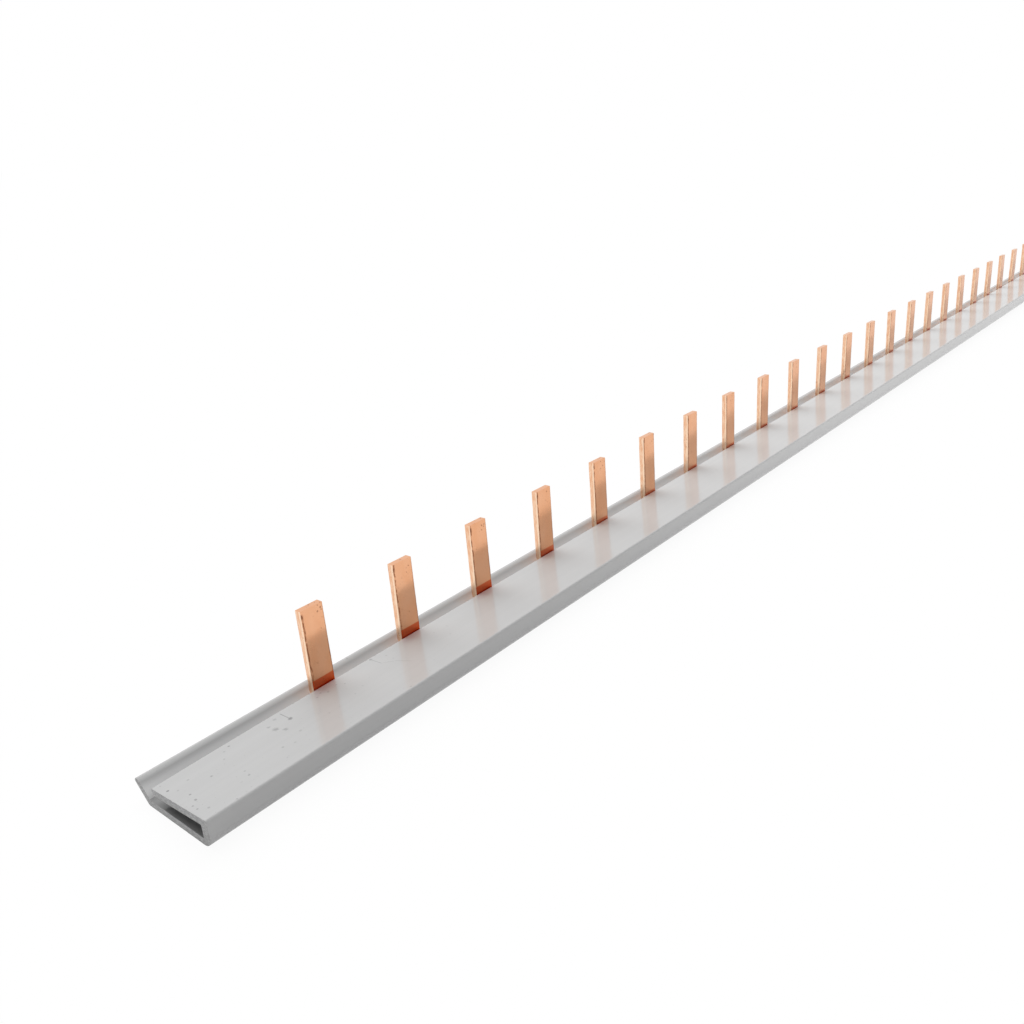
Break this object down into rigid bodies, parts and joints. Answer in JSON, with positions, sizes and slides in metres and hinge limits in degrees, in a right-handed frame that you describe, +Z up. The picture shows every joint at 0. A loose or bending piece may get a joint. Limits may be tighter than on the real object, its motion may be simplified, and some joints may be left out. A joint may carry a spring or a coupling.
{
  "type": "comb busbar",
  "caption": "Single-pole pin comb busbar: a bent copper comb whose flat pins stand out of a slot in a flat grey extruded insulating profile.",
  "frame": {"origin": "on the underside of the insulating profile, in the middle of the bar's length and depth", "axes": "+X along the bar, +Y from the plain front wall towards the lip behind the pins, +Z up, the way the pins stand"},
  "size_m": [1, 0.0164, 0.0163],
  "materials": {
    "grey_pvc": "glossy extruded rigid PVC with faint scuffs",
    "copper": "bare bright copper sheet, sheared and bent"
  },
  "bodies": {
    "root": {"insulating_profile": "grey_pvc", "copper_comb": "copper"}
  },
  "joints": []
}
